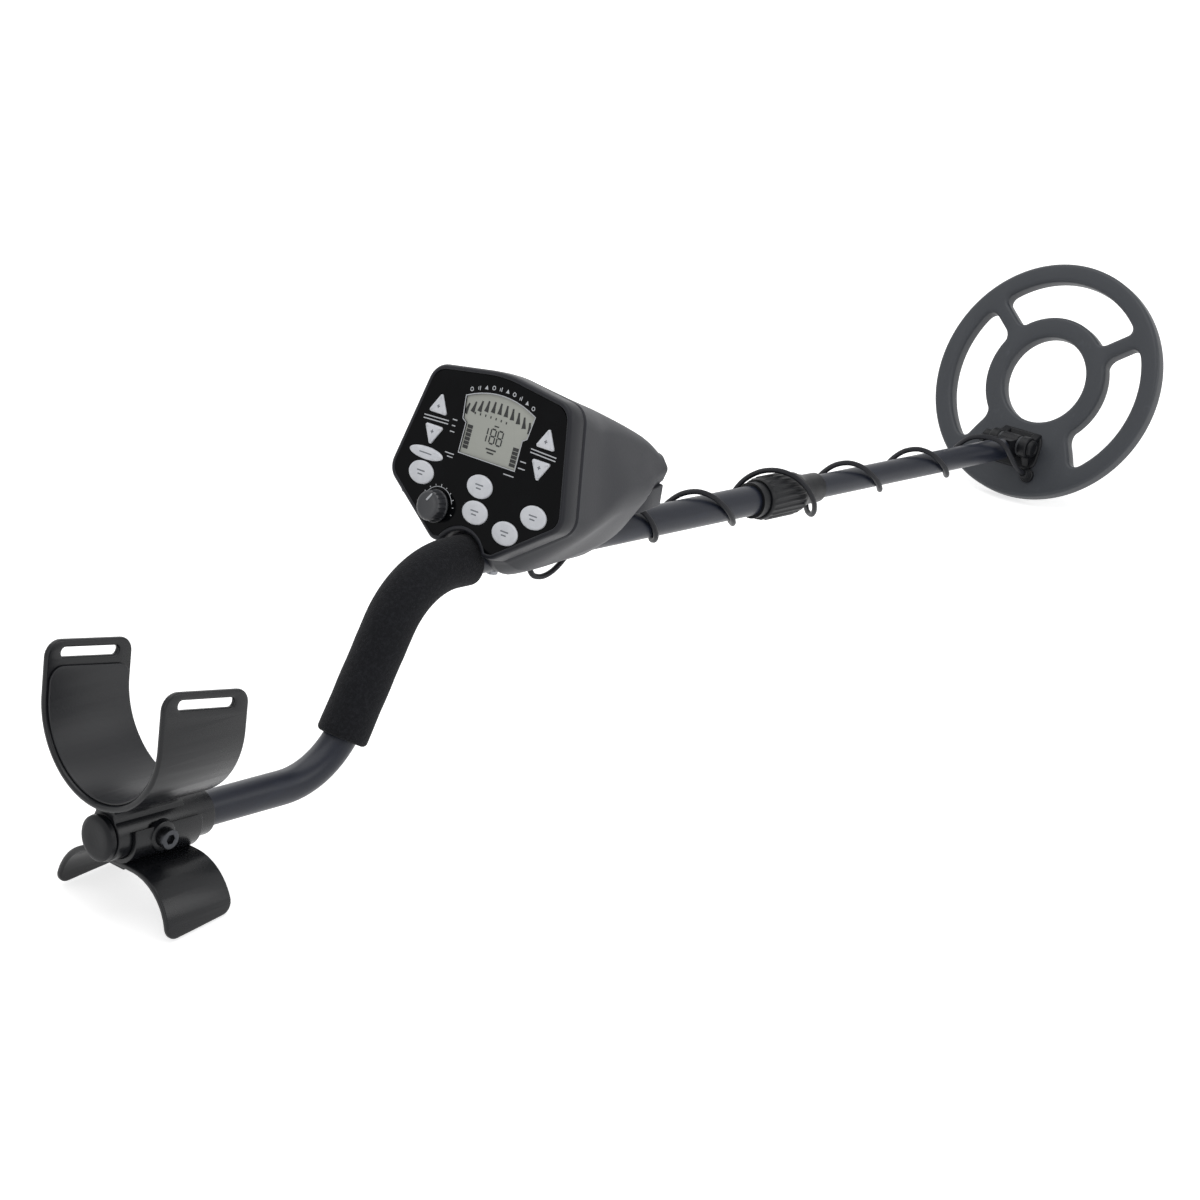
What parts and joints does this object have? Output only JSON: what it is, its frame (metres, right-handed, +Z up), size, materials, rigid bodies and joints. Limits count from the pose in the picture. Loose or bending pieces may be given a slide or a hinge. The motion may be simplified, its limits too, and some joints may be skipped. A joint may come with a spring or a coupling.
{
  "type": "metal detector",
  "caption": "Hand-held metal detector with a bent pole, arm cuff on a stand, faced control housing, telescopic stem and a tilting open-spoked search coil.",
  "frame": {"origin": "on the floor, at the middle of the object's overall box", "axes": "+X forward along the pole towards the coil, +Y to the user's left, +Z up"},
  "size_m": [1.0805, 0.2032, 0.2583],
  "materials": {
    "tube_paint": "satin navy-grey coating",
    "foam": "matte closed-cell foam",
    "cuff_plastic": "semi-gloss moulded plastic",
    "liner": "thin padded liner",
    "bolt_steel": "black-coated steel",
    "housing_plastic": "fine-grain satin moulding",
    "panel": "glossy black overlay",
    "display": "grey liquid-crystal display",
    "key_silver": "satin silver",
    "knob_plastic": "dark moulded plastic",
    "mat_rubber": "silicone key mat",
    "board": "green circuit board",
    "part_metal": "plated steel",
    "battery_metal": "plain grey jacket",
    "black_plastic": "black moulded plastic",
    "cable_rubber": "dark cable sheath",
    "coil_plastic": "charcoal satin moulding",
    "copper": "enamelled copper wire"
  },
  "bodies": {
    "pole": {"upper_tube": "tube_paint", "tube_end_cap": "black_plastic", "foam_grip": "foam", "arm_cuff": "cuff_plastic", "cuff_liner": "liner", "stand": "cuff_plastic", "clamp_bolt": "bolt_steel", "clamp_nut": "bolt_steel", "housing_shell": "housing_plastic", "face_frame": "housing_plastic", "face_panel": "panel", "lcd_window": "display", "lcd_module": "display", "key_mat": "mat_rubber", "circuit_board": "board", "face_screws": "part_metal", "potentiometer": "part_metal", "speaker": "black_plastic", "headphone_socket": "black_plastic", "battery_tray": "black_plastic", "batteries": "battery_metal", "battery_snaps": "black_plastic", "housing_screws": "part_metal", "coil_socket": "part_metal", "cable_plug": "black_plastic", "search_cable": "cable_rubber", "lock_sleeve": "black_plastic", "collet": "black_plastic"},
    "knob": {"knob_shaft": "part_metal", "sensitivity_knob": "knob_plastic"},
    "battery_door": {"battery_door": "housing_plastic"},
    "lock_collar": {"lock_collar": "black_plastic"},
    "lower_stem": {"lower_stem": "tube_paint", "stem_guide": "black_plastic", "stem_yoke": "black_plastic"},
    "coil": {"coil_shell": "coil_plastic", "coil_cover": "coil_plastic", "transmit_winding": "copper", "receive_winding": "copper", "cable_gland": "black_plastic", "hinge_washers": "mat_rubber", "hinge_bolt": "black_plastic"},
    "hinge_nut": {"hinge_nut": "black_plastic"},
    "mode_up_key": {"mode_up_key": "key_silver"},
    "mode_down_key": {"mode_down_key": "key_silver"},
    "tune_up_key": {"tune_up_key": "key_silver"},
    "tune_down_key": {"tune_down_key": "key_silver"},
    "notch_key": {"notch_key": "key_silver"},
    "power_key": {"power_key": "key_silver"},
    "pinpoint_key": {"pinpoint_key": "key_silver"},
    "tone_key": {"tone_key": "key_silver"},
    "accept_key": {"accept_key": "key_silver"},
    "reject_key": {"reject_key": "key_silver"}
  },
  "joints": [
    {"name": "stem_slide", "type": "slide", "parent": "pole", "child": "lower_stem", "axis": [0.9898, 0, -0.1426], "range_m": [0, 0.2], "deforming": ["search_cable"]},
    {"name": "coil_tilt", "type": "hinge", "parent": "lower_stem", "child": "coil", "pos_m": [0.43547, 0, 0.04662], "axis": [0, 1, 0], "range_deg": [-100, 56], "deforming": ["search_cable"]},
    {"name": "hinge_nut_turn", "type": "hinge", "parent": "coil", "child": "hinge_nut", "pos_m": [0.43547, 0, 0.04662], "axis": [0, 1, 0], "continuous": true},
    {"name": "collar_twist", "type": "hinge", "parent": "pole", "child": "lock_collar", "pos_m": [0.12425, 0, 0.08843], "axis": [0.9898, 0, -0.1426], "range_deg": [0, 90]},
    {"name": "knob_turn", "type": "hinge", "parent": "pole", "child": "knob", "pos_m": [-0.22246, 0.0285, 0.16799], "axis": [0.9354, 0, -0.3535], "range_deg": [-150, 150]},
    {"name": "mode_up_press", "type": "slide", "parent": "pole", "child": "mode_up_key", "axis": [0.9354, 0, -0.3535], "range_m": [0, 0.0008], "stiffness_N_per_m": 600, "springref_m": -0.0015},
    {"name": "mode_down_press", "type": "slide", "parent": "pole", "child": "mode_down_key", "axis": [0.9354, 0, -0.3535], "range_m": [0, 0.0008], "stiffness_N_per_m": 600, "springref_m": -0.0015},
    {"name": "tune_up_press", "type": "slide", "parent": "pole", "child": "tune_up_key", "axis": [0.9354, 0, -0.3535], "range_m": [0, 0.0008], "stiffness_N_per_m": 600, "springref_m": -0.0015},
    {"name": "tune_down_press", "type": "slide", "parent": "pole", "child": "tune_down_key", "axis": [0.9354, 0, -0.3535], "range_m": [0, 0.0008], "stiffness_N_per_m": 600, "springref_m": -0.0015},
    {"name": "notch_press", "type": "slide", "parent": "pole", "child": "notch_key", "axis": [0.9354, 0, -0.3535], "range_m": [0, 0.0008], "stiffness_N_per_m": 600, "springref_m": -0.0015},
    {"name": "power_press", "type": "slide", "parent": "pole", "child": "power_key", "axis": [0.9354, 0, -0.3535], "range_m": [0, 0.0008], "stiffness_N_per_m": 600, "springref_m": -0.0015},
    {"name": "pinpoint_press", "type": "slide", "parent": "pole", "child": "pinpoint_key", "axis": [0.9354, 0, -0.3535], "range_m": [0, 0.0008], "stiffness_N_per_m": 600, "springref_m": -0.0015},
    {"name": "tone_press", "type": "slide", "parent": "pole", "child": "tone_key", "axis": [0.9354, 0, -0.3535], "range_m": [0, 0.0008], "stiffness_N_per_m": 600, "springref_m": -0.0015},
    {"name": "accept_press", "type": "slide", "parent": "pole", "child": "accept_key", "axis": [0.9354, 0, -0.3535], "range_m": [0, 0.0008], "stiffness_N_per_m": 600, "springref_m": -0.0015},
    {"name": "reject_press", "type": "slide", "parent": "pole", "child": "reject_key", "axis": [0.9354, 0, -0.3535], "range_m": [0, 0.0008], "stiffness_N_per_m": 600, "springref_m": -0.0015},
    {"name": "door_slide", "type": "slide", "parent": "pole", "child": "battery_door", "axis": [0.9898, 0, -0.1426], "range_m": [0, 0.04]}
  ]
}
